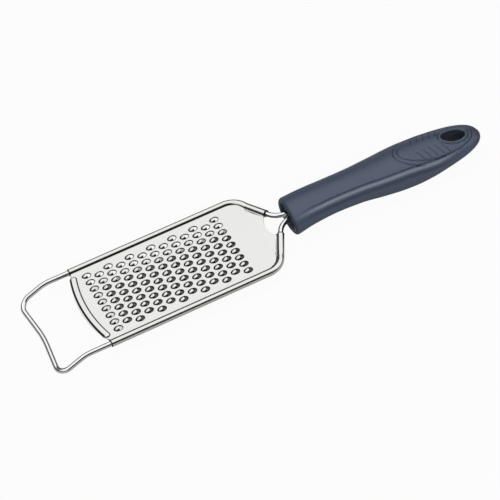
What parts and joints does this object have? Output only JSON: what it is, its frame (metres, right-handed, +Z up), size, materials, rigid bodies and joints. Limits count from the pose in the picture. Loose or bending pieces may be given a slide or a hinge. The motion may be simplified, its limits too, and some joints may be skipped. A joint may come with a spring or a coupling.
{
  "type": "rasp zester",
  "caption": "Hand rasp zester: stamped steel plate of raised hooded teeth, hems rolled round a bent wire frame with a front rest loop, and a moulded handle with a hanging hole.",
  "frame": {"origin": "middle of the footprint's bounding box, on the surface that the tool lies on", "axes": "+X from the front loop to the handle's tip, +Y to the left when the handle points to the user's right and the teeth face up, +Z up out of the toothed side"},
  "size_m": [0.2804, 0.0654, 0.0215],
  "materials": {
    "steel_wire": "polished stainless steel wire, drawn and bent",
    "steel_sheet": "bright rolled stainless steel sheet, stamped",
    "handle_plastic": "slate blue satin moulded plastic",
    "plug_plastic": "dark slate satin moulded plastic"
  },
  "bodies": {
    "root": {"wire_frame": "steel_wire", "grating_plate": "steel_sheet", "handle_body": "handle_plastic", "tang_plug": "plug_plastic"}
  },
  "joints": []
}
